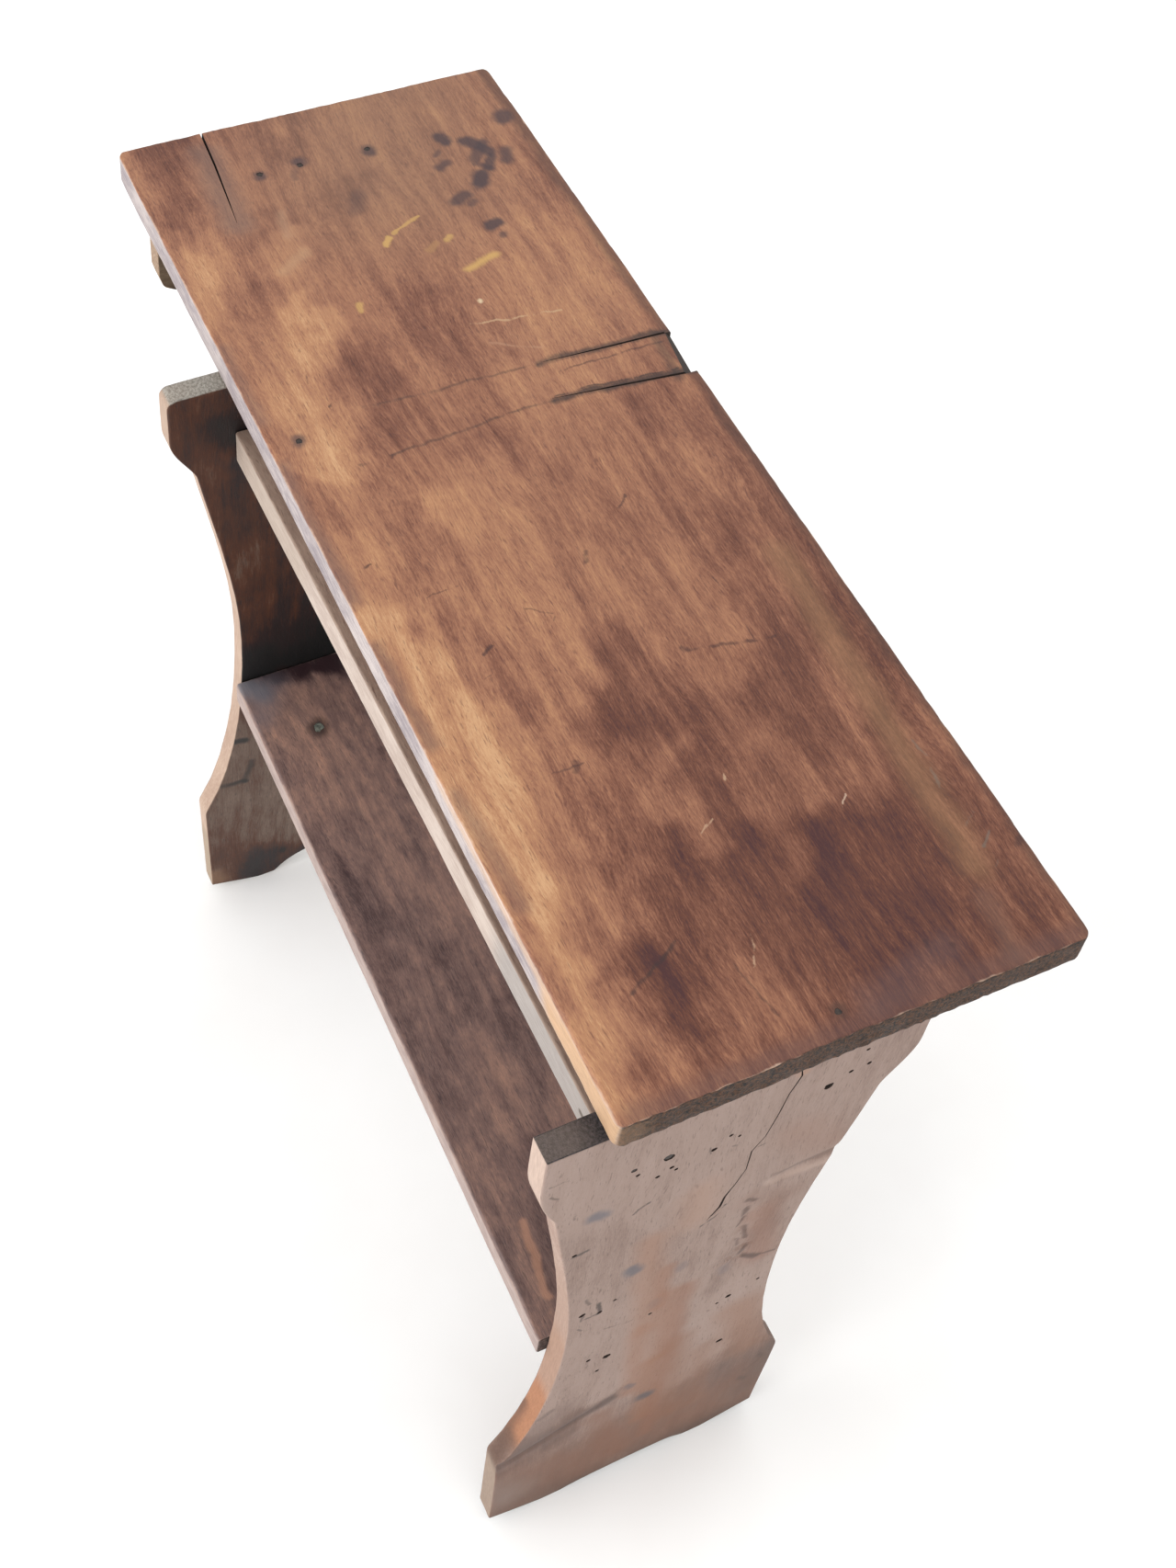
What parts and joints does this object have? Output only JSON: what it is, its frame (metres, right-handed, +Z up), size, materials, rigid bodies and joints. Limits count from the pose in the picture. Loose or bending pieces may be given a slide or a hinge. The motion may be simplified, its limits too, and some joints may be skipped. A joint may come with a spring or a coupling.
{
  "type": "milking stool",
  "caption": "Low wooden milking stool: a long plank top on waisted end boards, with a shelf and rails between them, a cleat under the long overhang, and nailed joints.",
  "frame": {"origin": "on the floor, under the middle of the bounding box", "axes": "+X along the top towards its short overhang, -Y to the front, where the rail shows, +Z up"},
  "size_m": [0.64, 0.2644, 0.5],
  "materials": {
    "top_wood": "worn, hand-polished, stained",
    "end_wood": "dry, weathered",
    "shelf_wood": "dark, aged",
    "rail_wood": "dry, rubbed bare",
    "nail_iron": "rusted dark"
  },
  "bodies": {
    "root": {"cleat": "end_wood", "cleat_nail_1": "nail_iron", "cleat_nail_2": "nail_iron", "cleat_nail_3": "nail_iron", "far_end_board": "end_wood", "front_rail": "rail_wood", "front_rail_nail_far_1": "nail_iron", "front_rail_nail_far_2": "nail_iron", "front_rail_nail_near_1": "nail_iron", "front_rail_nail_near_2": "nail_iron", "near_end_board": "end_wood", "rear_rail": "rail_wood", "rear_rail_nail_far_1": "nail_iron", "rear_rail_nail_far_2": "nail_iron", "rear_rail_nail_near_1": "nail_iron", "rear_rail_nail_near_2": "nail_iron", "shelf_board": "shelf_wood", "shelf_clout": "nail_iron", "shelf_nail_far_1": "nail_iron", "shelf_nail_far_2": "nail_iron", "shelf_nail_far_3": "nail_iron", "shelf_nail_near_1": "nail_iron", "shelf_nail_near_2": "nail_iron", "shelf_nail_near_3": "nail_iron", "top_board": "top_wood", "top_nail_far_1": "nail_iron", "top_nail_far_2": "nail_iron", "top_nail_far_3": "nail_iron", "top_nail_near_1": "nail_iron", "top_nail_near_2": "nail_iron", "top_nail_near_3": "nail_iron", "top_old_nail": "nail_iron"}
  },
  "joints": []
}
